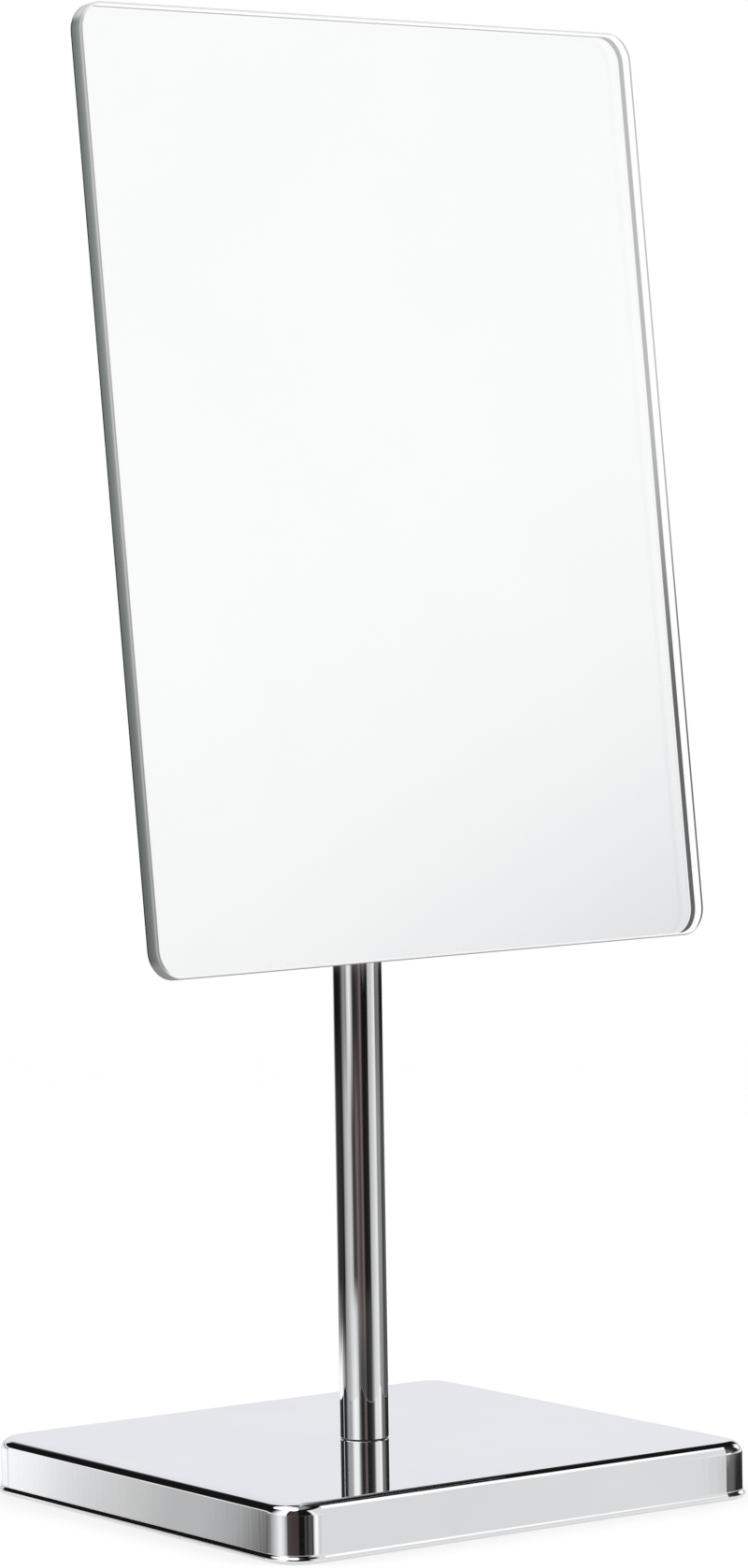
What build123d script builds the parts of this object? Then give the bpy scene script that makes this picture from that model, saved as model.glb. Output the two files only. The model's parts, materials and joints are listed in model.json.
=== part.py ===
from build123d import *
import os
from math import cos, radians, sin, sqrt

# Countertop mirror: a frameless glass plate on a chrome pole with a flat weighted base.
# Millimetres. The origin is the centre of the base's footprint at table level, +Z is up,
# +X runs along the base's width and the mirror looks towards -Y.
# The rest pose has the mirror swivelled and tilted back a little.

# ---------------------------------------------------------------- driving dimensions
overall_height = 381.5        # table to the top edge of the glass in the rest pose
rest_swivel = 5.8             # degrees about the pole, anticlockwise seen from above
rest_tilt = 5.9               # degrees that the mirror leans back

mirror_width = 188.0
mirror_height = 241.0
mirror_thickness = 5.0        # glass, silvering and film together
mirror_corner_radius = 7.5
glass_arris = 0.7             # the small bevel along every edge of the glass
silver_thickness = 0.1
film_thickness = 0.2
coat_gap = 0.02               # air left between the glass and its coat

pole_diameter = 12.7
pole_wall = 1.0
tube_rim_chamfer = 0.15
pole_setback = 1.7            # the pole stands this far behind the middle of the base

base_width = 148.0            # across the flared lip
base_depth = 140.0
base_height = 14.0            # lip to flat top
base_corner_radius = 9.5
base_edge_radius = 3.5
lip_flare = 0.75
lip_band = 0.4                # the upright band at the bottom of the lip
flare_rise = 1.3              # height over which the wall curves out to the lip
flare_blend = 1.6
shell_thickness = 1.2
lip_clearance = 0.5           # the pad holds the lip this far above the table

# ---------------------------------------------------------------- fits
running_gap = 0.05            # radial, between a turning part and its bearing
press_gap = 0.02              # radial, so that pressed parts touch without overlapping
thread_gap = 0.05             # radial, between a screw's shank and its tapped hole

# ---------------------------------------------------------------- base, from the table up
pad_thickness = 1.5
cover_thickness = 2.0
cover_gap = 0.35
pad_inset = 0.8
access_radius = 11.0          # opening in the pad and cover for the pole bolt

weight_inset = 3.0
weight_thickness = 7.0
weight_chamfer = 1.0
boss_radius = 6.0
boss_x = 54.0
boss_y = 50.0
counterbore_radius = 8.0
counterbore_depth = 3.0

# ---------------------------------------------------------------- fasteners
bolt_radius = 3.0             # M6
bolt_hole_radius = 3.3
bolt_length = 25.0
bolt_head_flats = 10.0
bolt_head_height = 4.0
washer_radius = 6.0
washer_thickness = 1.6
lock_washer_radius = 5.5
lock_washer_split = 1.2

small_screw_radius = 1.5      # M3
cover_screw_length = 8.0
cover_screw_head_radius = 2.8
cover_screw_head_height = 1.3
bracket_screw_length = 4.0
bracket_screw_head_radius = 2.8
bracket_screw_head_height = 1.8

tilt_pin_radius = 2.0         # M4
tilt_screw_head_radius = 4.0
tilt_screw_head_height = 2.4
dome_nut_flats = 7.0
dome_nut_hex_height = 3.2

# ---------------------------------------------------------------- pole ends
seat_washer_thickness = 0.2
foot_plug_length = 22.0
foot_spigot_radius = 4.0
foot_spigot_length = 1.3
bush_length = 18.0
bush_flange = 1.2
stud_radius = 3.45
thrust_washer_thickness = 0.5
head_collar_height = 3.5
clip_thickness = 0.8
clip_radius = 4.7
clip_groove_radius = 2.7
spring_washer_thickness = 0.3
spring_washer_bow = 18.0      # radius of the bowed washer's curve
spring_washer_radius = 4.9

# ---------------------------------------------------------------- tilt hinge
pivot_to_mirror = 17.0        # pin to the back of the mirror
tongue_thickness = 5.0
tongue_radius = 5.8
friction_washer_thickness = 0.5
friction_washer_radius = 5.0
ear_thickness = 2.0
ear_radius = 6.5
ear_clearance = 1.3           # from the ears' round ends down to the head's collar
web_thickness = 2.0
web_width = 30.0
web_height = 34.0
web_corner_radius = 5.0
bracket_screw_x = 10.5
bracket_screw_z = 12.0
disc_thickness = 2.0
disc_radius = 32.0
adhesive_thickness = 1.0
adhesive_radius = 30.0
disc_spring_radius = 4.5
disc_spring_sheet = 0.5
disc_spring_height = 0.9

# ---------------------------------------------------------------- places worked out from them
lip_z = lip_clearance
shell_top_z = lip_z + base_height
shell_roof_z = shell_top_z - shell_thickness
wall_width = base_width - 2 * lip_flare
wall_depth = base_depth - 2 * lip_flare
wall_corner_radius = base_corner_radius - lip_flare
cover_top_z = pad_thickness + cover_thickness
weight_bottom_z = shell_roof_z - weight_thickness
washer_top_z = weight_bottom_z + counterbore_depth
tube_bottom_z = shell_top_z + seat_washer_thickness
tube_bore_radius = pole_diameter / 2 - pole_wall

lean = radians(rest_tilt)
mirror_face = pivot_to_mirror + mirror_thickness
top_edge_rise = mirror_height / 2 * cos(lean) + (mirror_face - glass_arris) * sin(lean)
pivot_z = overall_height - top_edge_rise
collar_top_z = pivot_z - ear_radius - ear_clearance
collar_bottom_z = collar_top_z - head_collar_height
flange_top_z = collar_bottom_z - thrust_washer_thickness
tube_top_z = flange_top_z - bush_flange
bush_bottom_z = tube_top_z - bush_length
spring_inner = spring_washer_bow - spring_washer_thickness
spring_washer_height = spring_washer_bow - sqrt(spring_inner**2 - spring_washer_radius**2)
clip_top_z = bush_bottom_z - spring_washer_height
stud_end_z = clip_top_z - clip_thickness - 1.8

ear_inner_x = tongue_thickness / 2 + friction_washer_thickness
ear_outer_x = ear_inner_x + ear_thickness
adhesive_face = pivot_to_mirror - adhesive_thickness
disc_face = adhesive_face - disc_thickness
web_face = disc_face - web_thickness

pole_frame = Pos(0, pole_setback, 0)
head_frame = pole_frame * Rot(0, 0, rest_swivel)
mirror_frame = head_frame * Pos(0, 0, pivot_z) * Rot(-rest_tilt, 0, 0)


# ---------------------------------------------------------------- building blocks
def disc(radius, low, high):
    """A round bar along Z."""
    return extrude(Plane.XY.offset(low) * Circle(radius), amount=high - low)


def ring(outer, inner, low, high):
    """A round washer or tube along Z."""
    return extrude(Plane.XY.offset(low) * (Circle(outer) - Circle(inner)), amount=high - low)


def pin_disc(radius, left, right):
    """A round bar along the tilt pin's axis, X."""
    return extrude(Plane.YZ.offset(left) * Circle(radius), amount=right - left)


def slab(outline, near, far):
    """An outline drawn upright, thickened between two distances in front of the tilt pin."""
    return extrude(Plane.XZ.offset(near) * outline, amount=far - near)


def block(outline, low, high):
    """An outline drawn flat, thickened between two heights."""
    return extrude(Plane.XY.offset(low) * outline, amount=high - low)


def cross_recess(radius, depth):
    """The cutter for a cross-head recess, pointing down from the origin."""
    bar = Box(2 * radius, radius * 0.45, depth, align=(Align.CENTER, Align.CENTER, Align.MAX))
    return bar + Rot(0, 0, 90) * bar


def on_boss_places(piece):
    """The piece repeated at the ballast's four bosses."""
    places = GridLocations(2 * boss_x, 2 * boss_y, 2, 2)
    return [place * piece for place in places]


def on_bracket_places(piece):
    """The piece repeated at the bracket's four screws, in the mirror's own frame."""
    places = [(x, z) for x in (-bracket_screw_x, bracket_screw_x)
              for z in (-bracket_screw_z, bracket_screw_z)]
    return [Pos(x, 0, z) * piece for x, z in places]


# ---------------------------------------------------------------- base
def base_form(inset):
    """The base's outer form, or that form shrunk by an inset all round and at the top."""
    outline = RectangleRounded(wall_width - 2 * inset, wall_depth - 2 * inset,
                               wall_corner_radius - inset)
    wall = block(outline, lip_z, shell_top_z - inset)
    wall = fillet(wall.faces().sort_by(Axis.Z)[-1].edges(), base_edge_radius - inset)

    lip_outline = RectangleRounded(base_width - 2 * inset, base_depth - 2 * inset,
                                   base_corner_radius - inset)
    band = block(lip_outline, lip_z, lip_z + lip_band)
    flare_top_z = lip_z + lip_band + flare_rise
    flare = loft([Plane.XY.offset(lip_z + lip_band) * lip_outline,
                  Plane.XY.offset(flare_top_z) * outline])
    form = wall + band + flare
    bend = form.edges().filter_by_position(Axis.Z, flare_top_z - 0.01, flare_top_z + 0.01)
    return fillet(bend, flare_blend)


def base_shell():
    shell = base_form(0) - base_form(shell_thickness)
    hole = pole_frame * disc(foot_spigot_radius + running_gap, shell_roof_z - 1, shell_top_z + 1)
    return shell - hole


def base_weight():
    outline = RectangleRounded(wall_width - 2 * (shell_thickness + weight_inset),
                               wall_depth - 2 * (shell_thickness + weight_inset),
                               wall_corner_radius - weight_inset)
    plate = block(outline, weight_bottom_z, shell_roof_z)
    rims = plate.faces().sort_by(Axis.Z)
    plate = chamfer(rims[0].edges() + rims[-1].edges(), weight_chamfer)
    for boss in on_boss_places(disc(boss_radius, cover_top_z, weight_bottom_z)):
        plate += boss
    for hole in on_boss_places(disc(small_screw_radius, cover_top_z - 1, shell_roof_z - 2)):
        plate -= hole
    plate -= pole_frame * disc(bolt_hole_radius, weight_bottom_z - 1, shell_roof_z + 1)
    return plate - pole_frame * disc(counterbore_radius, weight_bottom_z - 1, washer_top_z)


def bottom_cover():
    clear = shell_thickness + cover_gap
    outline = RectangleRounded(wall_width - 2 * clear, wall_depth - 2 * clear,
                               wall_corner_radius - clear)
    sheet = block(outline, pad_thickness, cover_top_z)
    sheet -= pole_frame * disc(access_radius, 0, cover_top_z + 1)
    seat_z = pad_thickness + cover_screw_head_height
    sink = Pos(0, 0, (pad_thickness + seat_z) / 2) * Cone(
        cover_screw_head_radius, small_screw_radius, cover_screw_head_height)
    for cutter in on_boss_places(sink + disc(small_screw_radius, seat_z, cover_top_z + 1)):
        sheet -= cutter
    return sheet


def cover_screws():
    head = Pos(0, 0, pad_thickness + cover_screw_head_height / 2) * Cone(
        cover_screw_head_radius - thread_gap, small_screw_radius - thread_gap,
        cover_screw_head_height)
    shank = disc(small_screw_radius - thread_gap, pad_thickness + cover_screw_head_height / 2,
                 pad_thickness + cover_screw_length)
    recess = Pos(0, 0, pad_thickness) * Rot(180, 0, 0) * cross_recess(1.5, 1.0)
    screw = head + shank - recess
    return Compound(children=on_boss_places(screw))


def non_slip_pad():
    clear = shell_thickness + cover_gap + pad_inset
    outline = RectangleRounded(wall_width - 2 * clear, wall_depth - 2 * clear,
                               wall_corner_radius - clear)
    return block(outline, 0, pad_thickness) - pole_frame * disc(access_radius, -1, pad_thickness + 1)


# ---------------------------------------------------------------- pole and its bolt
def pole_bolt():
    head_top_z = washer_top_z - 2 * washer_thickness
    head_bottom_z = head_top_z - bolt_head_height
    hexagon = RegularPolygon(bolt_head_flats / 2, 6, major_radius=False)
    head = block(hexagon, head_bottom_z, head_top_z)
    round_off = disc(bolt_head_flats / 2 + 0.5, head_bottom_z, head_top_z)
    round_off = chamfer(round_off.faces().sort_by(Axis.Z)[0].edges(), 0.8)
    shank = disc(bolt_radius - thread_gap, head_top_z - 1, head_top_z + bolt_length)
    shank = chamfer(shank.faces().sort_by(Axis.Z)[-1].edges(), 0.6)
    return pole_frame * ((head & round_off) + shank)


def bolt_flat_washer():
    return pole_frame * ring(washer_radius, bolt_hole_radius - 0.1,
                             washer_top_z - washer_thickness, washer_top_z)


def bolt_lock_washer():
    top_z = washer_top_z - washer_thickness
    washer = ring(lock_washer_radius, bolt_hole_radius - 0.2, top_z - washer_thickness, top_z)
    split = Pos(lock_washer_radius, 0, top_z) * Rot(25, 0, 0) * Box(
        2 * lock_washer_radius, lock_washer_split, 6 * washer_thickness)
    return pole_frame * (washer - split)


def pole_seat_washer():
    return pole_frame * ring(pole_diameter / 2 - 0.25, foot_spigot_radius + running_gap,
                             shell_top_z, tube_bottom_z)


def pole_foot_plug():
    plug = disc(tube_bore_radius - press_gap, tube_bottom_z, tube_bottom_z + foot_plug_length)
    plug = chamfer(plug.faces().sort_by(Axis.Z)[-1].edges(), 0.8)
    spigot = disc(foot_spigot_radius, tube_bottom_z - foot_spigot_length, tube_bottom_z + 1)
    tapped = disc(bolt_radius, tube_bottom_z - foot_spigot_length - 1,
                  tube_bottom_z + foot_plug_length - 2.5)
    return pole_frame * (plug + spigot - tapped)


def pole_tube():
    tube = ring(pole_diameter / 2, tube_bore_radius, tube_bottom_z, tube_top_z)
    rims = [edge for edge in tube.edges().filter_by(GeomType.CIRCLE)
            if edge.radius > tube_bore_radius + 0.1]
    return pole_frame * chamfer(rims, tube_rim_chamfer)


# ---------------------------------------------------------------- swivel
def swivel_bush():
    body = disc(tube_bore_radius - press_gap, bush_bottom_z, tube_top_z + 0.1)
    flange = disc(pole_diameter / 2, tube_top_z, flange_top_z)
    flange = chamfer(flange.faces().sort_by(Axis.Z)[-1].edges(), 0.3)
    bore = disc(stud_radius + running_gap, bush_bottom_z - 1, flange_top_z + 1)
    return pole_frame * (body + flange - bore)


def swivel_thrust_washer():
    return pole_frame * ring(pole_diameter / 2 - 0.4, stud_radius + running_gap,
                             flange_top_z, collar_bottom_z)


def swivel_head():
    collar = disc(pole_diameter / 2, collar_bottom_z, collar_top_z)
    collar = fillet(collar.edges().filter_by(GeomType.CIRCLE), 0.5)
    tongue_outline = (Pos(0, pivot_z) * Circle(tongue_radius)
                      + Pos(0, (collar_top_z - 0.5 + pivot_z) / 2)
                      * Rectangle(2 * tongue_radius, pivot_z - collar_top_z + 0.5))
    tongue = extrude(Plane.YZ.offset(-tongue_thickness / 2) * tongue_outline,
                     amount=tongue_thickness)
    stud = disc(stud_radius, stud_end_z, collar_bottom_z + 1)
    stud = chamfer(stud.faces().sort_by(Axis.Z)[0].edges(), 0.5)
    groove = ring(stud_radius + 1, clip_groove_radius, clip_top_z - clip_thickness, clip_top_z)
    hole = Pos(0, 0, pivot_z) * pin_disc(tilt_pin_radius + running_gap,
                                         -tongue_thickness, tongue_thickness)
    return head_frame * (collar + tongue + stud - groove - hole)


def swivel_spring_washer():
    """A thin washer bowed about Y: its crown bears on the bush and its sides on the clip."""
    bow_z = bush_bottom_z - spring_washer_bow
    bow = Pos(0, 0, bow_z) * Rot(90, 0, 0) * (
        Cylinder(spring_washer_bow, 30) - Cylinder(spring_inner, 31))
    washer = ring(spring_washer_radius, stud_radius + 0.15, bush_bottom_z - 5, bush_bottom_z + 1)
    return head_frame * (bow & washer)


def swivel_retaining_clip():
    clip = ring(clip_radius, clip_groove_radius + press_gap,
                clip_top_z - clip_thickness, clip_top_z)
    mouth = Pos(0, -clip_radius, clip_top_z) * Box(2 * clip_groove_radius * 0.85,
                                                   2 * clip_radius, 4 * clip_thickness)
    return head_frame * (clip - mouth)


# ---------------------------------------------------------------- tilt hinge, in the mirror's frame
def tilt_friction_washers():
    rim = Circle(friction_washer_radius) - Circle(tilt_pin_radius + 0.1)
    pair = [extrude(Plane.YZ.offset(x) * rim, amount=friction_washer_thickness)
            for x in (-ear_inner_x, tongue_thickness / 2)]
    return mirror_frame * Compound(children=pair)


def hinge_bracket():
    web = slab(RectangleRounded(web_width, web_height, web_corner_radius), web_face, disc_face)
    web = fillet(web.faces().sort_by(Axis.Y)[-1].edges(), 0.6)
    reach = web_face + 0.5
    ear_outline = Circle(ear_radius) + Pos(-reach / 2, 0) * Rectangle(reach, 2 * ear_radius)
    bracket = web
    for left in (-ear_outer_x, ear_inner_x):
        bracket += extrude(Plane.YZ.offset(left) * ear_outline, amount=ear_thickness)
    bracket -= pin_disc(tilt_pin_radius + running_gap, -2 * ear_outer_x, 2 * ear_outer_x)
    for hole in on_bracket_places(slab(Circle(small_screw_radius), web_face - 1, disc_face + 1)):
        bracket -= hole
    roots = [edge for edge in bracket.edges().filter_by(Axis.Z)
             if abs(edge.center().Y + web_face) < 0.01 and abs(abs(edge.center().X) - ear_outer_x) < 0.01]
    return mirror_frame * fillet(roots, 1.5)


def bracket_screws():
    head = slab(Circle(bracket_screw_head_radius), web_face - bracket_screw_head_height, web_face)
    head = fillet(head.faces().sort_by(Axis.Y)[-1].edges(), 1.0)
    shank = slab(Circle(small_screw_radius - thread_gap), web_face - 0.5,
                 web_face + bracket_screw_length)
    recess = Pos(0, bracket_screw_head_height - web_face, 0) * Rot(-90, 0, 0) * cross_recess(1.5, 1.1)
    return mirror_frame * Compound(children=on_bracket_places(head + shank - recess))


def tilt_screw():
    head = pin_disc(tilt_screw_head_radius, -ear_outer_x - tilt_screw_head_height, -ear_outer_x)
    head = fillet(head.faces().sort_by(Axis.X)[0].edges(), 1.4)
    end_x = ear_outer_x + disc_spring_height + dome_nut_hex_height + 1.0
    shank = pin_disc(tilt_pin_radius, -ear_outer_x - 0.5, end_x)
    face_x = -ear_outer_x - tilt_screw_head_height
    recess = Pos(face_x, 0, 0) * Rot(0, -90, 0) * cross_recess(2.2, 1.5)
    return mirror_frame * (head + shank - recess)


def tilt_disc_spring():
    """A conical spring washer: its rim bears on the ear and its bore on the nut."""
    bore = tilt_pin_radius + 0.1
    rise = disc_spring_height - disc_spring_sheet
    section = Polygon((ear_outer_x, disc_spring_radius),
                      (ear_outer_x + disc_spring_sheet, disc_spring_radius),
                      (ear_outer_x + disc_spring_sheet + rise, bore),
                      (ear_outer_x + rise, bore), align=None)
    return mirror_frame * revolve(section, Axis.X)


def tilt_dome_nut():
    hex_left = ear_outer_x + disc_spring_height
    hex_right = hex_left + dome_nut_hex_height
    hexagon = RegularPolygon(dome_nut_flats / 2, 6, major_radius=False)
    nut = extrude(Plane.YZ.offset(hex_left) * hexagon, amount=dome_nut_hex_height)
    dome = Pos(hex_right, 0, 0) * Sphere(dome_nut_flats / 2 - 0.3)
    dome &= pin_disc(dome_nut_flats, hex_right - 1, hex_right + dome_nut_flats)
    bore = pin_disc(tilt_pin_radius + thread_gap, hex_left - 1, hex_right + 1.2)
    return mirror_frame * (nut + dome - bore)


# ---------------------------------------------------------------- mirror, in its own frame
def mounting_disc():
    plate = slab(Circle(disc_radius), disc_face, adhesive_face)
    plate = fillet(plate.faces().sort_by(Axis.Y)[-1].edges(), 1.2)
    for hole in on_bracket_places(slab(Circle(small_screw_radius), disc_face - 1, adhesive_face + 1)):
        plate -= hole
    return mirror_frame * plate


def adhesive_pad():
    return mirror_frame * slab(Circle(adhesive_radius), adhesive_face, pivot_to_mirror)


def plate_outline(inset):
    """The mirror's outline, or that outline shrunk by an inset."""
    return RectangleRounded(mirror_width - 2 * inset, mirror_height - 2 * inset,
                            mirror_corner_radius - inset)


film_face = pivot_to_mirror + film_thickness
silver_face = film_face + silver_thickness
glass_back = silver_face + coat_gap


def safety_film():
    return mirror_frame * slab(plate_outline(1.5 * glass_arris), pivot_to_mirror, film_face)


def silver_layer():
    return mirror_frame * slab(plate_outline(glass_arris), film_face, silver_face)


def mirror_glass():
    glass = slab(plate_outline(0), glass_back, mirror_face)
    rims = glass.faces().sort_by(Axis.Y)
    return mirror_frame * chamfer(rims[0].edges() + rims[-1].edges(), glass_arris)


# ---------------------------------------------------------------- one file for each piece
pieces = [
    base_shell, base_weight, bottom_cover, cover_screws, non_slip_pad,
    pole_bolt, bolt_flat_washer, bolt_lock_washer, pole_seat_washer, pole_foot_plug, pole_tube,
    swivel_bush, swivel_head, swivel_thrust_washer, swivel_spring_washer, swivel_retaining_clip,
    tilt_friction_washers, tilt_screw, tilt_disc_spring, tilt_dome_nut,
    hinge_bracket, bracket_screws, mounting_disc, adhesive_pad,
    safety_film, silver_layer, mirror_glass,
]

os.makedirs("parts", exist_ok=True)
for piece in pieces:
    export_step(piece(), f"parts/{piece.__name__}.step")
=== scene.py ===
import json
from collections import namedtuple
from math import cos, degrees, radians, sin, sqrt

import bmesh
import bpy
from mathutils import Matrix, Quaternion, Vector
from mathutils.geometry import tessellate_polygon


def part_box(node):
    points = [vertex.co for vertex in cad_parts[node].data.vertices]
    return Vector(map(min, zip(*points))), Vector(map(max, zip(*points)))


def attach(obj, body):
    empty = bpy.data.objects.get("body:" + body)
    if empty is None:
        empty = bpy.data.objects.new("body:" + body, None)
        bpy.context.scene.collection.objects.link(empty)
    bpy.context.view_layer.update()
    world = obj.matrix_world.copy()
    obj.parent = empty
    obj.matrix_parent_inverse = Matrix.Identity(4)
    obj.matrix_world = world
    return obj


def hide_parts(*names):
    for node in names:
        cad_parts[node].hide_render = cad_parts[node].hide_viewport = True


# Looks for the countertop mirror. Metres, in the same frame as the CAD:
# +Z up, the mirror faces -Y, the table is at Z 0.

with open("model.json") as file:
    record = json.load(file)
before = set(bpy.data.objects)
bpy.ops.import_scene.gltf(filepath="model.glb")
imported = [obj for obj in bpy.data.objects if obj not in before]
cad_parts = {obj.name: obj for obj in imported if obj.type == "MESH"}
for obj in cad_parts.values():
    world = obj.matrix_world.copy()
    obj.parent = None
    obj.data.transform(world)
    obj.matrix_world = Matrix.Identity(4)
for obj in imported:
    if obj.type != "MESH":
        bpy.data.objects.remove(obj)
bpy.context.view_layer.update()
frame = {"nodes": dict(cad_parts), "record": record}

# ---------------------------------------------------------------- camera
CAMERA_AZIMUTH = -35.73        # degrees, 0 looks along +Y
CAMERA_PITCH = 2.88            # degrees that the camera looks down
CAMERA_ROLL = -0.91
CAMERA_DISTANCE = 1.4252
CAMERA_AIM = Vector((0.0088, 0.0051, 0.1844))
SENSOR = 36                    # mm, the sensor's height
LENS = 125.64                  # mm


def horizontal(azimuth):
    """The level direction a camera at this azimuth looks along."""
    return Vector((sin(-radians(azimuth)), cos(radians(azimuth)), 0))


def make_camera():
    data = bpy.data.cameras.new("camera")
    data.sensor_fit = "VERTICAL"
    data.sensor_width = SENSOR
    data.sensor_height = SENSOR
    data.lens = LENS
    data.clip_start = 0.01
    data.clip_end = 50
    camera = bpy.data.objects.new("camera", data)
    bpy.context.scene.collection.objects.link(camera)
    pitch = radians(CAMERA_PITCH)
    forward = horizontal(CAMERA_AZIMUTH) * cos(pitch) - Vector((0, 0, sin(pitch)))
    roll = Quaternion(forward, -radians(CAMERA_ROLL))
    camera.rotation_mode = "QUATERNION"
    camera.rotation_quaternion = roll @ forward.to_track_quat("-Z", "Y")
    camera.location = CAMERA_AIM - forward * CAMERA_DISTANCE
    bpy.context.scene.camera = camera


# ---------------------------------------------------------------- node helpers
def put(tree, kind, inputs=None, **settings):
    """Adds a node. An input's value is a number, a colour or another node's output."""
    node = tree.nodes.new("ShaderNode" + kind)
    for name, value in settings.items():
        setattr(node, name, value)
    for name, value in (inputs or {}).items():
        if isinstance(value, bpy.types.NodeSocket):
            tree.links.new(value, node.inputs[name])
        else:
            node.inputs[name].default_value = value
    return node


def maths(tree, operation, a, b=0.0):
    return put(tree, "Math", {0: a, 1: b}, operation=operation).outputs[0]


def product(tree, *values):
    total = values[0]
    for value in values[1:]:
        total = maths(tree, "MULTIPLY", total, value)
    return total


def outside_of(tree, share):
    return maths(tree, "SUBTRACT", 1.0, share)


def between(tree, value, low, high, start=0.0, end=1.0, smooth=True):
    """Carries value from start to end as it goes from low to high."""
    step = "SMOOTHSTEP" if smooth else "LINEAR"
    inputs = {"Value": value, "From Min": low, "From Max": high, "To Min": start, "To Max": end}
    return put(tree, "MapRange", inputs, interpolation_type=step).outputs[0]


def blend_colours(tree, share, first, second, mode="MIX"):
    node = put(tree, "Mix", data_type="RGBA", blend_type=mode)
    for socket, value in zip((node.inputs[0], node.inputs[6], node.inputs[7]), (share, first, second)):
        if isinstance(value, bpy.types.NodeSocket):
            tree.links.new(value, socket)
        else:
            socket.default_value = value
    return node.outputs[2]


def ramp(tree, value, stops):
    """A colour ramp from (position, grey or colour) stops."""
    node = put(tree, "ValToRGB", {"Fac": value})
    elements = node.color_ramp.elements
    elements.remove(elements[-1])
    elements[0].position = stops[0][0]
    for position, _ in stops[1:]:
        elements.new(position)
    for element, (_, colour) in zip(elements, stops):
        element.color = (*colour, 1.0) if isinstance(colour, tuple) else grey(colour)
    return node.outputs[0]


def grey(value):
    return (value, value, value, 1.0)


def new_material(name):
    material = bpy.data.materials.new(name)
    material.use_nodes = True
    tree = material.node_tree
    shader = tree.nodes["Principled BSDF"]
    return material, tree, shader


def noise(tree, scale, detail=4.0, roughness=0.5, stretch=None):
    """Noise over the piece's own place in the frame, in units of scale per metre."""
    place = put(tree, "TexCoord").outputs["Object"]
    if stretch:
        place = put(tree, "Mapping", {"Vector": place, "Scale": stretch}).outputs[0]
    inputs = {"Vector": place, "Scale": scale, "Detail": detail, "Roughness": roughness}
    return put(tree, "TexNoise", inputs).outputs["Fac"]


def bump(tree, shader, height, distance, strength=1.0, under=None):
    inputs = {"Height": height, "Distance": distance, "Strength": strength}
    if under is not None:
        inputs["Normal"] = under
    node = put(tree, "Bump", inputs)
    tree.links.new(node.outputs[0], shader.inputs["Normal"])
    return node.outputs[0]


def set_inputs(shader, **values):
    for name, value in values.items():
        socket = shader.inputs[name.replace("_", " ").title().replace("Ior", "IOR")]
        if isinstance(value, bpy.types.NodeSocket):
            shader.id_data.links.new(value, socket)
        else:
            socket.default_value = value


# ---------------------------------------------------------------- materials
glass_mesh = frame["nodes"]["mirror_glass"].data
GLASS_NORMAL = max(glass_mesh.polygons, key=lambda face: face.area).normal.copy()
if GLASS_NORMAL.y > 0:
    GLASS_NORMAL.negate()          # the mirror faces -Y
glass_depths = [GLASS_NORMAL.dot(corner.co) for corner in glass_mesh.vertices]
glass_heights = [corner.co.z for corner in glass_mesh.vertices]
GLASS_DEPTH = (min(glass_depths), max(glass_depths))
GLASS_HEIGHT = (min(glass_heights), max(glass_heights))


def chrome(name, streaks=False):
    """Polished chrome with faint haze, fine scratches and, on pressed sheet, upright streaks."""
    material, tree, shader = new_material(name)
    haze = noise(tree, 35.0, detail=3.0)
    scratch = noise(tree, 900.0, detail=2.0, stretch=(1.0, 1.0, 0.06))
    hazy = between(tree, haze, 0.35, 0.75, start=0.012, end=0.03)
    scratched = between(tree, scratch, 0.62, 0.8, start=0.0, end=0.03)
    tint = ramp(tree, haze, [(0.3, (0.86, 0.865, 0.88)), (0.7, (0.90, 0.905, 0.915))])
    set_inputs(shader, base_color=tint, metallic=1.0, roughness=maths(tree, "ADD", hazy, scratched))
    fine = bump(tree, shader, scratch, distance=0.000002, strength=0.4)
    if streaks:
        drawn = noise(tree, 110.0, detail=3.0, stretch=(1.0, 1.0, 0.3))
        level = put(tree, "SeparateXYZ", {0: put(tree, "NewGeometry").outputs["Normal"]}).outputs["Z"]
        upright = between(tree, maths(tree, "ABSOLUTE", level), 0.02, 0.15, start=0.06, end=0.0)
        bump(tree, shader, drawn, distance=0.00002, strength=upright, under=fine)
    return material


def steel(name, colour, roughness=0.25):
    """Plated or bare steel, and brass: patchy tint and a fine grain."""
    material, tree, shader = new_material(name)
    patches = noise(tree, 220.0, detail=5.0)
    grain = noise(tree, 1500.0, detail=3.0)
    dark = tuple(0.72 * c for c in colour)
    tint = ramp(tree, patches, [(0.32, dark), (0.68, colour)])
    rough = between(tree, grain, 0.3, 0.7, start=0.75 * roughness, end=1.35 * roughness)
    set_inputs(shader, base_color=tint, metallic=1.0, roughness=rough)
    bump(tree, shader, grain, distance=0.00001, strength=0.5)
    return material


def moulded(name, colour, roughness=0.5, grain=1800.0, depth=0.00003, subsurface=0.0):
    """Plastic, foam, film and painted iron: a pebbled surface, grain pebbles to the metre."""
    material, tree, shader = new_material(name)
    patches = noise(tree, 90.0, detail=3.0)
    place = put(tree, "TexCoord").outputs["Object"]
    pebbles = put(tree, "TexVoronoi", {"Vector": place, "Scale": grain}).outputs["Distance"]
    dark = tuple(0.85 * c for c in colour)
    tint = ramp(tree, patches, [(0.3, dark), (0.7, colour)])
    rough = between(tree, patches, 0.3, 0.7, start=0.9 * roughness, end=1.15 * roughness)
    set_inputs(shader, base_color=tint, roughness=rough, subsurface_weight=subsurface)
    shader.inputs["Subsurface Radius"].default_value = (0.002, 0.002, 0.002)
    bump(tree, shader, pebbles, distance=depth, strength=0.6)
    return material


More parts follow.
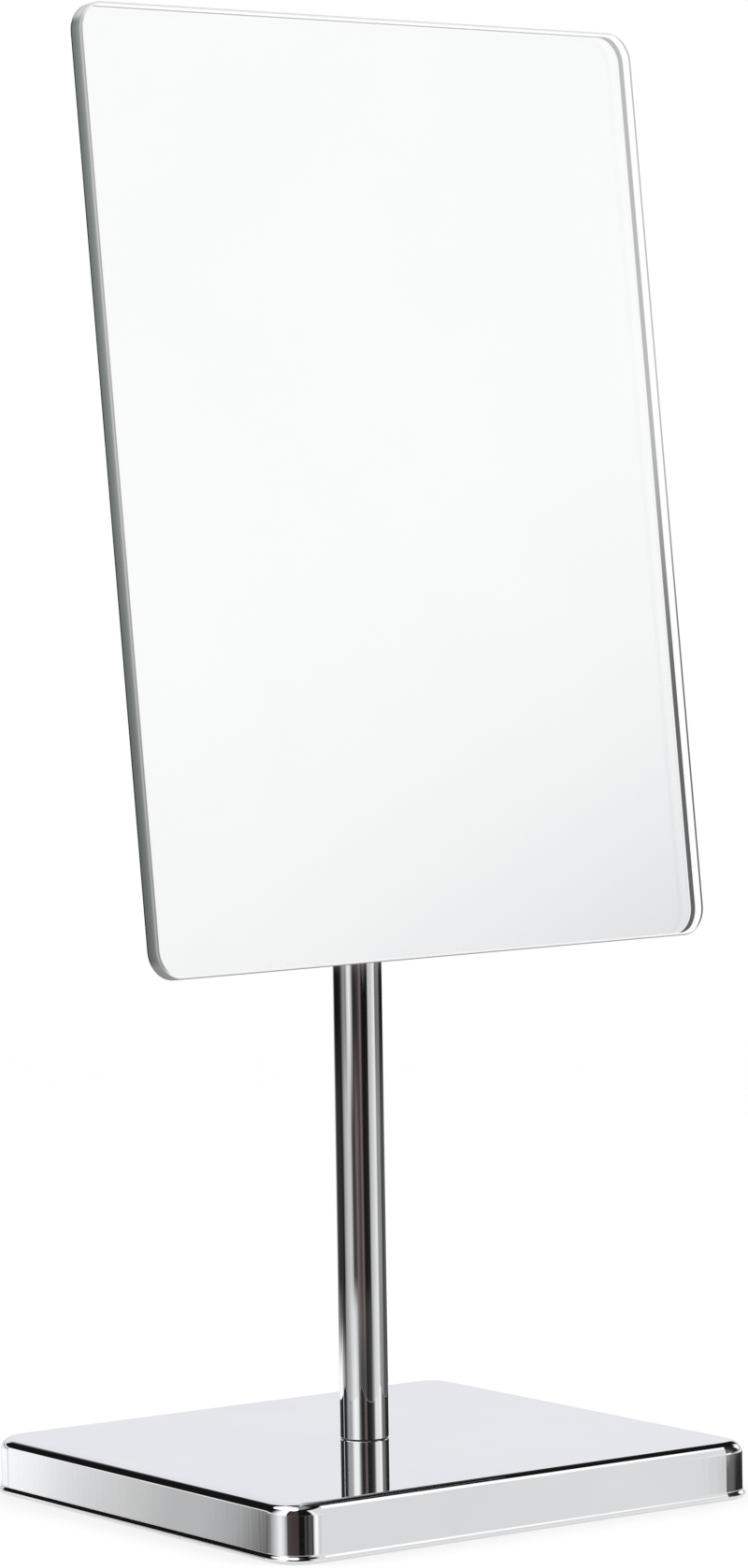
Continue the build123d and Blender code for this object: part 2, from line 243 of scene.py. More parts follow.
def ground_edge(tree, across, up, outward):
    """The ground edge from outside: satin grey-green with a dark rear rim, and a painted highlight as a
    bright line near the front. Its sides darken downwards with painted shade, and its top and bottom have
    painted light and shade of their own."""
    # Painted highlights: the bright line near the front and the white front arris.
    beside = ramp(tree, across, [(0.0, 0.01), (0.21, 0.012), (0.26, (0.115, 0.137, 0.130)),
                                 (0.6, (0.165, 0.190, 0.182)), (0.84, (0.24, 0.26, 0.253)),
                                 (0.88, 0.42), (0.91, 0.56), (0.94, 0.40), (0.97, 0.34), (1.0, 0.9)])
    # Painted shade on the bottom face with a painted highlight near the front, then painted light on the
    # top face.
    painted_underside = ramp(tree, across, [(0.0, 0.2), (0.84, 0.25), (0.89, 0.3), (0.92, 0.9), (1.0, 1.0)])
    above = ramp(tree, across, [(0.0, 0.3), (0.6, 0.55), (0.86, 0.5), (0.90, 0.62), (1.0, 0.75)])
    # Painted shade: the sides are made darker lower down.
    shaded_beside = blend_colours(tree, 1.0, beside, grey(0.72), mode="MULTIPLY")
    beside = blend_colours(tree, between(tree, up, 0.04, 0.66), shaded_beside, beside)
    tone = blend_colours(tree, between(tree, outward, -0.3, -0.6), beside, painted_underside)
    tone = blend_colours(tree, between(tree, outward, 0.3, 0.6), tone, above)
    grind = noise(tree, 2500.0, detail=3.0)
    edge = put(tree, "BsdfPrincipled")
    set_inputs(edge, base_color=tone, roughness=between(tree, grind, 0.3, 0.7, 0.35, 0.5), ior=1.3)
    bump(tree, edge, grind, distance=0.00002, strength=0.3)
    return edge.outputs[0]


def painted_edge_glow(tree, across, up):
    """The ground edge from within the glass: a painted glow, an emission standing in for the light it lets
    through, which is cut off near the front bevel, more so lower down, as painted shade."""
    # Painted shade: the painted glow is dimmer lower down and cut off near the front bevel.
    dark = between(tree, up, 0.24, 0.62, start=0.09, end=0.5)
    cut = ramp(tree, across, [(0.0, 0.0), (0.43, 0.0), (0.49, 1.0), (0.93, 1.0), (0.97, 0.0)])
    tone = blend_colours(tree, cut, grey(1.04), dark)
    return put(tree, "Emission", {"Color": tone, "Strength": 1.0}).outputs[0]


def clear_glass():
    """Clear on its two faces and their polished bevels, with a ground edge between the bevels."""
    material, tree, shader = new_material("clear_glass")
    dust = noise(tree, 400.0, detail=6.0, roughness=0.65)
    set_inputs(shader, base_color=grey(1.0), roughness=between(tree, dust, 0.66, 0.8, 0.0, 0.05),
               transmission_weight=1.0, ior=1.52)

    texture = put(tree, "TexCoord")
    place, normal = texture.outputs["Object"], texture.outputs["Normal"]
    facing = put(tree, "VectorMath", {0: normal, 1: GLASS_NORMAL}, operation="DOT_PRODUCT").outputs["Value"]
    depth = put(tree, "VectorMath", {0: place, 1: GLASS_NORMAL}, operation="DOT_PRODUCT").outputs["Value"]
    across = between(tree, depth, *GLASS_DEPTH, smooth=False)
    height = put(tree, "SeparateXYZ", {0: place}).outputs["Z"]
    up = between(tree, height, *GLASS_HEIGHT, smooth=False)
    outward = put(tree, "SeparateXYZ", {0: normal}).outputs["Z"]
    # The ground edge gets painted light and shade from outside and a painted glow from within.
    outside, inside = ground_edge(tree, across, up, outward), painted_edge_glow(tree, across, up)
    within = put(tree, "NewGeometry").outputs["Backfacing"]
    ground = put(tree, "MixShader", {0: within, 1: outside, 2: inside})
    on_edge = between(tree, maths(tree, "ABSOLUTE", facing), 0.8, 0.9, start=1.0, end=0.0)
    mix = put(tree, "MixShader", {0: on_edge, 1: shader.outputs[0], 2: ground.outputs[0]})

    absorb = put(tree, "VolumeAbsorption", {"Color": (0.42, 0.80, 0.62, 1.0), "Density": 0.25})
    output = tree.nodes["Material Output"]
    tree.links.new(mix.outputs[0], output.inputs["Surface"])
    tree.links.new(absorb.outputs[0], output.inputs["Volume"])
    return material


def silvering():
    material, tree, shader = new_material("silvering")
    cloud = noise(tree, 12.0, detail=2.0)
    tint = ramp(tree, cloud, [(0.3, (0.93, 0.935, 0.94)), (0.7, (0.95, 0.955, 0.96))])
    set_inputs(shader, base_color=tint, metallic=1.0, roughness=0.0)
    return material


SLOT_MATERIALS = {
    "chrome": lambda: chrome("chrome"),
    "cast_iron": lambda: moulded("cast_iron", (0.05, 0.05, 0.053), roughness=0.6, grain=900.0,
                                 depth=0.0002),
    "black_plastic": lambda: moulded("black_plastic", (0.025, 0.025, 0.027), roughness=0.45),
    "zinc_plated_steel": lambda: steel("zinc_plated_steel", (0.66, 0.68, 0.72)),
    "eva_foam": lambda: moulded("eva_foam", (0.028, 0.028, 0.03), roughness=0.85, grain=1100.0,
                                depth=0.0001),
    "brass": lambda: steel("brass", (0.78, 0.58, 0.28), roughness=0.22),
    "nylon": lambda: moulded("nylon", (0.80, 0.79, 0.75), roughness=0.35, grain=2500.0, depth=0.00001,
                             subsurface=0.2),
    "foam_tape": lambda: moulded("foam_tape", (0.04, 0.04, 0.043), roughness=0.8, grain=2200.0,
                                 depth=0.00008),
    "spring_steel": lambda: steel("spring_steel", (0.34, 0.34, 0.36), roughness=0.3),
    "backing_film": lambda: moulded("backing_film", (0.30, 0.32, 0.33), grain=1400.0),
    "silvering": silvering,
    "clear_glass": clear_glass,
}


def paint(shell):
    """Gives every piece the material of its slot in the record."""
    slots = {part["node"]: part["material_slot"] for part in frame["record"]["subparts"]}
    made = {slot: make() for slot, make in SLOT_MATERIALS.items()}
    for node, piece in frame["nodes"].items():
        piece.data.materials.clear()
        piece.data.materials.append(made[slots[node]])
    shell.data.materials.append(chrome("base_chrome", streaks=True))


# ---------------------------------------------------------------- the base's shell, in finer detail
LIP_OUT = 0.00075              # how far the lip stands out from the walls
LIP_RISE = 0.0013              # height over which it curves out
LIP_EDGE = 0.00035             # radius of its rolled edge
BASE_CORNER = 0.00875          # radius of the walls' corners
BASE_FILLET = 0.0035           # radius of the bend between the top and the walls
FILLET_TURN = 76               # degrees that it turns through before it meets the walls
BASE_SHEET = 0.0012            # thickness of the sheet
SPIGOT_HOLE = 0.00405          # radius of the hole under the pole
shell_low, shell_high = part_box("base_shell")
BASE_SIZE = (shell_high - shell_low).to_2d() - 2 * Vector((LIP_OUT, LIP_OUT))
BASE_TOP = shell_high.z
BASE_BOTTOM = shell_low.z
POLE_PLACE = (sum(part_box("pole_tube"), Vector()) / 2).to_2d()
CORNER_STEPS = 36              # facets of each kind of bend
HOLE_STEPS = 48
FILLET_STEPS = 24
INNER_FILLET_STEPS = 12
FLARE_STEPS = 16
LIP_STEPS = 6
CORNER_EASE = 1.1              # how gently the corners start to bend, as pressed sheet does


def corner_curve():
    """A quarter turn of unit size as (place, outward direction) pairs, starting at +X."""
    place, step = Vector((0, 0)), radians(90) / CORNER_STEPS
    curve = []
    for count in range(CORNER_STEPS + 1):
        angle = count * step
        curve.append((place.copy(), Vector((cos(angle), sin(angle)))))
        radius = 1 + CORNER_EASE * abs(cos(2 * angle + step))**3
        place += Vector((-sin(angle + step / 2), cos(angle + step / 2))) * radius * step
    return curve


def base_outline():
    """The walls' outline as (place, outward direction) pairs, anticlockwise from above."""
    curve = corner_curve()
    reach = curve[-1][0].y
    tip = Vector((0, reach))
    scale = BASE_CORNER * (sqrt(2) - 1) / (tip - curve[CORNER_STEPS // 2][0]).length
    outline = []
    for quarter, signs in enumerate([(1, 1), (-1, 1), (-1, -1), (1, -1)]):
        corner = Vector((BASE_SIZE.x * signs[0] / 2, BASE_SIZE.y * signs[1] / 2))
        spin = Matrix.Rotation(radians(90 * quarter), 2)
        outline += [(corner + spin @ (place - tip) * scale, spin @ out) for place, out in curve]
    return outline


def base_profile():
    """The sheet's section from the top face, down the outside and up the inside, as
    (distance in from the walls, height, outward part of the normal, upward part) rows."""
    rows = []

    def arc(inset, height, radius, start, end, steps, side=1):
        """Part of a circle about (inset, height). Its angles run from straight up to outward."""
        for count in range(steps + 1):
            angle = radians(start + (end - start) * count / steps)
            rows.append((inset - radius * sin(angle), height + radius * cos(angle),
                         side * sin(angle), side * cos(angle)))

    def flare(thickness, side):
        """The lip's curve, down the outside or up the inside. It starts and ends upright."""
        for count in range(FLARE_STEPS + 1):
            along = count / FLARE_STEPS if side > 0 else 1 - count / FLARE_STEPS
            out = LIP_OUT * along**2 * (3 - 2 * along)
            slope = LIP_OUT * 6 * along * (1 - along) / LIP_RISE
            size = sqrt(1 + slope**2)
            rows.append((thickness - out, flare_top - along * LIP_RISE, side / size, side * slope / size))

    edge_middle = BASE_BOTTOM + LIP_EDGE
    flare_top = edge_middle + LIP_RISE
    fillet_middle = BASE_TOP - BASE_FILLET
    fillet_inset = BASE_FILLET * sin(radians(FILLET_TURN))
    wall_top = fillet_middle + BASE_FILLET * cos(radians(FILLET_TURN))
    arc(fillet_inset, fillet_middle, BASE_FILLET, 0, FILLET_TURN, FILLET_STEPS)
    rows.append((0, wall_top, 1, 0))
    flare(0, 1)
    arc(LIP_EDGE - LIP_OUT, edge_middle, LIP_EDGE, 90, 180, LIP_STEPS)
    arc(BASE_SHEET - LIP_EDGE - LIP_OUT, edge_middle, LIP_EDGE, 180, 270, LIP_STEPS)
    flare(BASE_SHEET, -1)
    arc(BASE_FILLET, fillet_middle, BASE_FILLET - BASE_SHEET, 90, 0, INNER_FILLET_STEPS, side=-1)
    return rows


def make_base_shell():
    """The chromed shell with exact normals, so that its bends mirror the studio cleanly."""
    outline, profile = base_outline(), base_profile()
    count = len(outline)
    verts, faces, normals = [], [], []

    def add_face(corners, directions):
        """One face with its corners' normals, wound to suit them."""
        a, b, c = (Vector(verts[index]) for index in corners[:3])
        if (b - a).cross(c - a).dot(sum(directions, Vector())) < 0:
            corners, directions = corners[::-1], directions[::-1]
        faces.append(corners)
        normals.extend(directions)

    def add_cap(ring_start, hole_start, up):
        """A flat face from a ring of the outline to the hole for the pole's spigot."""
        rings = [range(ring_start, ring_start + count), range(hole_start, hole_start + HOLE_STEPS)]
        indices = [index for ring in rings for index in ring]
        loops = [[Vector(verts[index]) for index in ring] for ring in rings]
        for triangle in tessellate_polygon(loops):
            add_face([indices[corner] for corner in triangle], [Vector((0, 0, up))] * 3)

    for inset, height, _, _ in profile:
        for place, out in outline:
            verts.append((*(place - out * inset), height))
    for row in range(len(profile) - 1):
        for column in range(count):
            after = (column + 1) % count
            corners = [(row, column), (row, after), (row + 1, after), (row + 1, column)]
            directions = [Vector((*(outline[c][1] * profile[r][2]), profile[r][3])) for r, c in corners]
            add_face([r * count + c for r, c in corners], directions)

    hole_starts = []
    for height in (BASE_TOP, BASE_TOP - BASE_SHEET):
        hole_starts.append(len(verts))
        for step in range(HOLE_STEPS):
            angle = radians(360) * step / HOLE_STEPS
            place = POLE_PLACE + Vector((cos(angle), sin(angle))) * SPIGOT_HOLE
            verts.append((*place, height))
    add_cap(0, hole_starts[0], 1)
    add_cap((len(profile) - 1) * count, hole_starts[1], -1)
    middle = POLE_PLACE.to_3d()
    for step in range(HOLE_STEPS):
        after = (step + 1) % HOLE_STEPS
        corners = [hole_starts[0] + step, hole_starts[0] + after,
                   hole_starts[1] + after, hole_starts[1] + step]
        inward = [(middle - Vector(verts[index])) * Vector((1, 1, 0)) for index in corners]
        add_face(corners, [direction.normalized() for direction in inward])

    mesh = bpy.data.meshes.new("base_shell_polished")
    mesh.from_pydata(verts, [], faces)
    mesh.polygons.foreach_set("use_smooth", [True] * len(mesh.polygons))
    mesh.normals_split_custom_set(normals)
    shell = bpy.data.objects.new("base_shell_polished", mesh)
    bpy.context.scene.collection.objects.link(shell)
    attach(shell, "stand")
    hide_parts("base_shell")
    return shell


# ---------------------------------------------------------------- studio
# Bright surfaces mirror a studio that is painted by direction: the turn from the camera to the
# viewer's right and the elevation, both in degrees. Seen from the camera, the base's front wall
# mirrors turn 71, its left wall -109, its near corner the turns between them and its top 180. The
# glass mirrors turns 81 to 87. The pole mirrors every turn, at elevations -10 to -5.
BLACK = 0.008
DIM = 0.025
BROWN = (0.065, 0.045, 0.043)
ROSE = (0.19, 0.14, 0.135)
LAVENDER = (0.845, 0.852, 0.885)
PANEL = 0.78                   # the large grey panel on the right
FULL = 1.02
WHITE = 1.1
LAMP = 1.15                    # the strip lamps around the panel
SOFT_BOX_TONE = 1.3

# Bands from below upwards: the elevations over which a band takes over from the one below it, and
# its tone at each turn.
STUDIO_BANDS = [
    (-90, -90, [                                   # the table, as the base's walls mirror it
        (-180, 0.7), (-140, 1.0), (-118, 1.0), (-113, 0.5), (-110, 0.20), (-101, 0.20), (-93, 0.42),
        (-80, 0.70), (-69, 0.97), (-58, 0.80), (-46, 0.42), (-40, 0.07), (-20, BROWN), (0, BROWN),
        (8, BLACK), (22, BLACK), (27, 0.07), (32, 0.02), (40, 0.11), (46, 0.03), (50, 0.9), (55, LAMP),
        (61, 0.66), (71, 0.82), (74.8, 0.65), (75.6, 0.11), (95, 0.13), (108, DIM), (150, DIM),
        (180, 0.15),
    ]),
    (-10.0, -9.7, [                                # its far end, as the pole's foot mirrors it
        (-180, 0.8), (-152, 0.95), (-140, WHITE), (-123, WHITE), (-108, 0.5), (-90, 0.13), (-82, 0.34),
        (-62, 0.5), (-50, 0.78), (-36, 0.9), (-28, 0.75), (-18, 0.20), (-10, 0.08), (2, 0.07),
        (10, 0.11), (18, 0.02), (38, 0.05), (46, 0.25), (58, 0.7), (82, 0.93), (88, 0.4), (110, 0.25),
        (119, 0.09), (142, 0.11), (160, 0.04), (180, 0.06),
    ]),
    (-9.1, -8.4, [                                 # above it the white backdrop narrows on the left
        (-180, 0.7), (-162, 0.5), (-148, 0.2), (-130, 0.2), (-112, 0.08), (-90, DIM), (-82, 0.32),
        (-66, 0.5), (-56, 0.72), (-40, 0.84), (-29, 0.72), (-18, 0.22), (-10, ROSE), (0, 0.09),
        (10, ROSE), (18, 0.03), (42, 0.06), (48, 0.35), (58, 0.68), (82, 0.97), (88, 0.36),
        (112, 0.25), (120, 0.07), (130, 0.08), (142, 0.13), (160, 0.06), (180, 0.1),
    ]),
    (-8.45, -8.0, [                                # and dark curtains hang on both sides
        (-180, 0.85), (-170, 0.74), (-158, 0.46), (-148, 0.16), (-138, 0.04), (-98, 0.03), (-88, BLACK),
        (-80, 0.32), (-68, 0.52), (-50, 0.66), (-41, 0.45), (-35, 0.06), (-24, 0.05), (-16, ROSE),
        (0, BROWN), (9, ROSE), (18, BLACK), (42, 0.02), (49, 0.5), (64, 0.68), (82, 0.92), (89, 0.32),
        (113, 0.28), (120, 0.06), (130, 0.05), (140, 0.12), (150, 0.14), (162, 0.08), (180, 0.1),
    ]),
    (-6.6, -5.2, [                                 # the same, as the top of the pole mirrors it
        (-180, 0.75), (-160, 0.52), (-150, 0.14), (-141, BLACK), (-110, BLACK), (-90, 0.02),
        (-80, 0.2), (-68, 0.33), (-60, 0.21), (-52, 0.7), (-40, 0.92), (-32, 0.5), (-24, 0.03),
        (-14, DIM), (0, BROWN), (9, ROSE), (17, BLACK), (44, BLACK), (49, 0.56), (62, 0.6), (82, 0.93),
        (88, 0.18), (112, 0.2), (121, 0.04), (130, BLACK), (160, BLACK), (180, 0.1),
    ]),
    (-2.0, 2.0, [                                  # the same, as it shows in the backdrop's gap
        (-180, LAVENDER), (-172, LAVENDER), (-160, 0.4), (-150, 0.10), (-141, 0.02), (-92, 0.03),
        (-82, 0.36), (-60, 0.42), (-50, 0.95), (-38, 1.08), (-28, 0.95), (-18, 0.2), (-10, DIM),
        (0, DIM), (9, ROSE), (18, BLACK), (36, 0.03), (48, 0.10), (58, 0.85), (82, 1.1), (90, 0.5),
        (98, 0.17), (112, 0.2), (120, 0.05), (150, BLACK), (166, DIM), (174, LAVENDER), (180, LAVENDER),
    ]),
    (12.0, 15.0, [                                 # the dark room with its light panels
        (-180, LAVENDER), (-143, LAVENDER), (-138, BLACK), (-99, BLACK), (-90, 0.5), (-78, WHITE),
        (-50, WHITE), (-44, BLACK), (-34, BROWN), (0, BROWN), (8, BLACK), (44, BLACK), (50, WHITE),
        (60, PANEL), (108, PANEL), (113, LAMP), (147, LAMP), (152, BLACK), (180, BLACK),
    ]),
    (26.0, 36.0, [                                 # higher up the lamp is narrower
        (-180, LAVENDER), (-150, LAVENDER), (-145, BLACK), (-99, BLACK), (-90, 0.5), (-78, WHITE),
        (-50, WHITE), (-44, BLACK), (-34, BROWN), (0, BROWN), (8, BLACK), (44, BLACK), (50, WHITE),
        (60, PANEL), (108, PANEL), (113, LAMP), (120, LAMP), (124, BLACK), (170, BLACK), (180, LAVENDER),
    ]),
    (55.0, 58.0, [(-180, BLACK), (180, BLACK)]),   # the dark ceiling, dimly lit in the middle
    (66.0, 76.0, [(-180, 0.3), (180, 0.3)]),
]

# A span of three numbers, below, is a window's low side, its high side and how softly it begins and
# ends. A pale backdrop stands all round, and below it lies the pale table.
BACKDROP = [(-180, LAVENDER), (-150, LAVENDER), (-110, 0.85), (-60, 1.0), (-20, 0.9), (20, 0.88),
            (60, 0.97), (115, 0.9), (150, LAVENDER), (180, LAVENDER)]
BACKDROP_FOOT = (-4.9, -3.9)   # elevations over which it fades in
BACKDROP_HEAD = (14.5, 18.5)   # and out again
BACKDROP_GAP = (8.7, 11.2, 0.2)    # left dark for the pole's image in the base's top
TABLE = (0.83, 0.835, 0.85, 1.0)
TABLE_EDGE = (-12.6, -11.6)

SOFT_BOX = (-0.28, 0.18)       # X and Y of the direction to its middle, overhead
SOFT_BOX_REACH = (0.29, 0.52)  # how far it reaches either way
SOFT_BOX_EDGE = (1.1, 0.95)    # shares of that reach over which its edge fades in
SOFT_BOX_RISE = (10.0, 20.0)   # and elevations over which it does

# A straight wall and its bends mirror the directions that share their component along the wall.
# The left wall mirrors these tones by their Y component, from its near end to its far end.
LEFT_WALL = [(0.797, 0.02), (0.8075, 0.03), (0.811, 0.24), (0.8135, 0.42), (0.817, 0.52), (0.821, 0.52),
             (0.824, 0.6), (0.8275, 0.68), (0.831, 0.80), (0.8345, 0.92), (0.838, 1.05), (0.848, 1.0)]
LEFT_WALL_SOFTNESS = 0.003
LEFT_WALL_SIDE = (-1.0, -0.2, 0.05)    # X components, so that only the left side mirrors it
LEFT_WALL_LINE = (13.5, 14.5)  # elevations over which a thin bright line begins
LEFT_WALL_HEIGHT = (-90.0, 16.5, 1.0)
POLE_HEIGHT = (-8.6, -4.5, 0.3)    # elevations left to the pole, which would mirror the tones too

# The front wall mirrors the grey panel between these X components, with a lamp above it.
FRONT_WALL = (0.561, 0.6245, 0.006)
FRONT_WALL_SIDE = (-1.0, 0.0, 0.03)    # Y components, so that its bend's top mirrors the dark room
LAMP_SLANT = 1.8               # the lamp begins along the line Y = 1.8 X - 1.42
LAMP_EDGE = (-1.45, -1.39)
LAMP_FOOT = (30.0, 36.0)

# The right corner mirrors these dark tones by turn, beyond the end of the front wall.
RIGHT_CORNER = [(70, 0.12), (95, 0.13), (106, DIM), (180, DIM)]
RIGHT_CORNER_SIDE = (0.6365, 1.0, 0.006)
RIGHT_CORNER_HIGH = (12.0, 14.0)   # above these elevations
RIGHT_CORNER_LOW = (-9.8, -10.0)   # and below these

# The glass plate mirrors a white screen, darker to the right and downwards.
SCREEN_TURN = (77, 91, 1.5)
SCREEN_HEIGHT = (-2.0, 20.0, 1.0)
SCREEN_MIDDLE = (81.0, 4.2)    # turn and elevation where it has its middle tone
SCREEN_SPREAD = (12.0, 5.7)    # degrees of turn and of elevation that its shading takes up
SCREEN_TONES = [(0.0, (0.795, 0.803, 0.815)), (0.2, (0.878, 0.882, 0.889)), (0.4, 0.944), (0.6, 0.981),
                (0.8, 1.0), (1.0, FULL)]

FLOOR_RADIUS = 1.6
FOOT_MARGIN = 0.0005           # bright surfaces mirror the shaded floor only this near to the base
FLOOR_GLOW = 0.6               # share of the floor's light that doesn't depend on shadows
FLOOR_FADE = (0.25, 1.3)       # the floor fades into the white background between these distances
LIGHT_SIZE = 0.9
LIGHT_AIM = (0, 0, 0.1)


Ray = namedtuple("Ray", "turn height x y")


def mirrored_ray(tree):
    """A reflected ray's turn and elevation in degrees, and the X and Y of its direction."""
    direction = put(tree, "TexCoord").outputs["Generated"]
    turned = put(tree, "VectorRotate", {"Vector": direction, "Angle": radians(-CAMERA_AZIMUTH + 90)},
                 rotation_type="Z_AXIS")
    split = put(tree, "SeparateXYZ", {0: turned.outputs[0]})
    turn = maths(tree, "ARCTAN2", split.outputs["Y"], split.outputs["X"])
    height = maths(tree, "ARCSINE", split.outputs["Z"])
    axes = put(tree, "SeparateXYZ", {0: direction})
    return Ray(product(tree, turn, degrees(1)), product(tree, height, degrees(1)),
               axes.outputs["X"], axes.outputs["Y"])


def window(tree, *spans):
    """One where every (value, low, high, softness) lies between its low and high, zero outside."""
    share = 1.0
    for value, low, high, soft in spans:
        begun = between(tree, value, low - soft, low + soft)
        ended = between(tree, value, high - soft, high + soft)
        share = product(tree, share, begun, outside_of(tree, ended))
    return share


def ellipse(tree, values, middle, reach):
    """One on the edge of an ellipse, and less inside it."""
    total = 0.0
    for value, centre, size in zip(values, middle, reach):
        offset = maths(tree, "DIVIDE", maths(tree, "SUBTRACT", value, centre), size)
        total = maths(tree, "ADD", total, product(tree, offset, offset))
    return total


def around(tree, turn, stops):
    """A ramp over the turn, from (degrees, grey or colour) stops between -180 and 180."""
    share = maths(tree, "DIVIDE", maths(tree, "ADD", turn, 180.0), 360.0)
    return ramp(tree, share, [((angle + 180) / 360, colour) for angle, colour in stops])


def bands(tree, ray):
    """The studio's tones at every turn and elevation, before the overlays below."""
    colour = around(tree, ray.turn, STUDIO_BANDS[0][2])
    for start, end, stops in STUDIO_BANDS[1:]:
        share = between(tree, ray.height, start, end)
        colour = blend_colours(tree, share, colour, around(tree, ray.turn, stops))
    return colour


def backdrop_and_table(tree, ray, colour):
    gap = window(tree, (ray.height, *BACKDROP_GAP))
    share = product(tree, between(tree, ray.height, *BACKDROP_FOOT),
                    between(tree, ray.height, *BACKDROP_HEAD, start=1.0, end=0.0), outside_of(tree, gap))
    colour = blend_colours(tree, share, colour, around(tree, ray.turn, BACKDROP))
    return blend_colours(tree, between(tree, ray.height, *TABLE_EDGE), TABLE, colour)


def soft_box(tree, ray, colour):
    box = ellipse(tree, (ray.x, ray.y), SOFT_BOX, SOFT_BOX_REACH)
    share = product(tree, between(tree, box, *SOFT_BOX_EDGE), between(tree, ray.height, *SOFT_BOX_RISE))
    return blend_colours(tree, share, colour, grey(SOFT_BOX_TONE))


def front_wall(tree, ray, colour):
    slant = maths(tree, "SUBTRACT", ray.y, product(tree, ray.x, LAMP_SLANT))
    lamp = product(tree, between(tree, slant, *LAMP_EDGE), between(tree, ray.height, *LAMP_FOOT))
    front = blend_colours(tree, lamp, grey(PANEL), grey(LAMP))
    share = window(tree, (ray.x, *FRONT_WALL), (ray.y, *FRONT_WALL_SIDE))
    return blend_colours(tree, share, colour, front)


def right_corner(tree, ray, colour):
    high, low = (between(tree, ray.height, *span) for span in (RIGHT_CORNER_HIGH, RIGHT_CORNER_LOW))
    corner = window(tree, (ray.x, *RIGHT_CORNER_SIDE), (ray.y, *FRONT_WALL_SIDE))
    share = product(tree, corner, maths(tree, "MAXIMUM", high, low))
    return blend_colours(tree, share, colour, around(tree, ray.turn, RIGHT_CORNER))


def left_wall(tree, ray, colour):
    start, end = LEFT_WALL[0][0], LEFT_WALL[-1][0]
    stops = [((place - start) / (end - start), tone) for place, tone in LEFT_WALL]
    left = ramp(tree, between(tree, ray.y, start, end, smooth=False), stops)
    left = blend_colours(tree, between(tree, ray.height, *LEFT_WALL_LINE), left, grey(WHITE))
    wall = window(tree, (ray.y, start, end, LEFT_WALL_SOFTNESS), (ray.x, *LEFT_WALL_SIDE),
                  (ray.height, *LEFT_WALL_HEIGHT))
    pole = window(tree, (ray.height, *POLE_HEIGHT))
    return blend_colours(tree, product(tree, wall, outside_of(tree, pole)), colour, left)


def white_screen(tree, ray, colour):
    aside, above = (maths(tree, "DIVIDE", maths(tree, "SUBTRACT", value, middle), spread)
                    for value, middle, spread in zip(ray[:2], SCREEN_MIDDLE, SCREEN_SPREAD))
    shaded = maths(tree, "ADD", maths(tree, "SUBTRACT", above, aside), 0.5)
    share = window(tree, (ray.turn, *SCREEN_TURN), (ray.height, *SCREEN_HEIGHT))
    return blend_colours(tree, share, colour, ramp(tree, shaded, SCREEN_TONES))


def studio_world():
    """White to the eye and to matt surfaces, while bright surfaces mirror the painted studio."""
    world = bpy.data.worlds.new("studio")
    world.use_nodes = True
    bpy.context.scene.world = world
    tree = world.node_tree
    tree.nodes.clear()
    ray = mirrored_ray(tree)
    colour = bands(tree, ray)
    for overlay in (backdrop_and_table, soft_box, front_wall, right_corner, left_wall, white_screen):
        colour = overlay(tree, ray, colour)

    mirrored = put(tree, "Background", {"Color": colour, "Strength": 1.0})
    plain = put(tree, "Background", {"Color": grey(1.0), "Strength": 1.0})
    path = put(tree, "LightPath")
    seen_matt = maths(tree, "MAXIMUM", path.outputs["Is Camera Ray"], path.outputs["Is Diffuse Ray"])
    mix = put(tree, "MixShader", {0: seen_matt, 1: mirrored.outputs[0], 2: plain.outputs[0]})
    tree.links.new(mix.outputs[0], put(tree, "OutputWorld").inputs["Surface"])


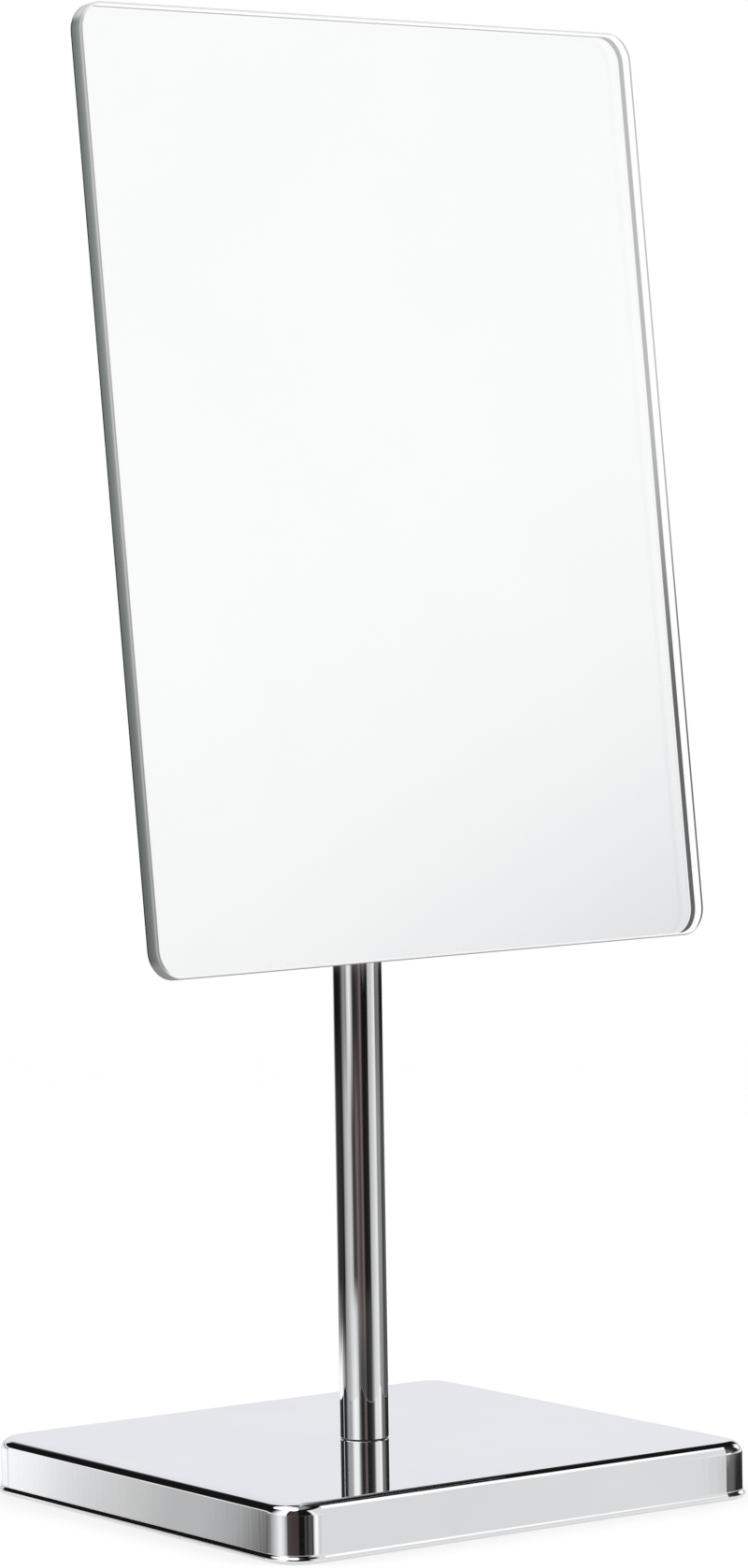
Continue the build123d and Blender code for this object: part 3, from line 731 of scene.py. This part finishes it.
def make_floor():
    """A pale table top that fades into the white backdrop. Polished surfaces mirror the studio instead."""
    mesh = bpy.data.meshes.new("floor")
    shape = bmesh.new()
    bmesh.ops.create_circle(shape, cap_ends=True, segments=96, radius=FLOOR_RADIUS)
    shape.to_mesh(mesh)
    shape.free()
    floor = bpy.data.objects.new("floor", mesh)
    bpy.context.scene.collection.objects.link(floor)

    material = bpy.data.materials.new("pale_floor")
    material.use_nodes = True
    tree = material.node_tree
    tree.nodes.clear()
    place = put(tree, "TexCoord").outputs["Object"]
    tone = ramp(tree, noise(tree, 14.0), [(0.3, 0.86), (0.7, 0.88)])
    matt = put(tree, "BsdfDiffuse", {"Color": tone})
    glow = put(tree, "Emission", {"Color": grey(1.0), "Strength": 1.0})
    lit = put(tree, "MixShader", {0: FLOOR_GLOW, 1: matt.outputs[0], 2: glow.outputs[0]})

    distance = put(tree, "VectorMath", {0: place}, operation="LENGTH").outputs["Value"]
    fade = between(tree, distance, *FLOOR_FADE)
    reach = (shell_high.x + FOOT_MARGIN, shell_high.y + FOOT_MARGIN, 1)
    near = put(tree, "VectorMath", {0: place, 1: reach}, operation="DIVIDE").outputs[0]
    near = put(tree, "VectorMath", {0: near}, operation="ABSOLUTE").outputs[0]
    near = put(tree, "SeparateXYZ", {0: near})
    beyond = between(tree, maths(tree, "MAXIMUM", near.outputs["X"], near.outputs["Y"]), 1.0, 1.02)
    unseen = product(tree, put(tree, "LightPath").outputs["Is Glossy Ray"], beyond)
    clear = put(tree, "BsdfTransparent")
    mix = put(tree, "MixShader", {0: maths(tree, "MAXIMUM", fade, unseen), 1: lit.outputs[0],
                                  2: clear.outputs[0]})
    tree.links.new(mix.outputs[0], put(tree, "OutputMaterial").inputs["Surface"])
    mesh.materials.append(material)


def soft_light(name, place, power):
    """A square lamp, aimed at the object. It lights matt surfaces and isn't mirrored itself."""
    data = bpy.data.lights.new(name, "AREA")
    data.shape = "SQUARE"
    data.size = LIGHT_SIZE
    data.energy = power
    light = bpy.data.objects.new(name, data)
    light.location = place
    light.rotation_mode = "QUATERNION"
    light.rotation_quaternion = (Vector(LIGHT_AIM) - Vector(place)).to_track_quat("-Z", "Y")
    light.visible_glossy = False
    light.visible_transmission = False
    bpy.context.scene.collection.objects.link(light)


def make_studio():
    studio_world()
    make_floor()
    soft_light("key", place=(0.9, -0.9, 1.3), power=9.0)
    soft_light("fill", place=(-1.0, 0.6, 1.0), power=4.0)
    view = bpy.context.scene.view_settings
    view.view_transform = "Standard"
    view.look = "None"


# ---------------------------------------------------------------- the whole scene
make_camera()
make_studio()
paint(make_base_shell())
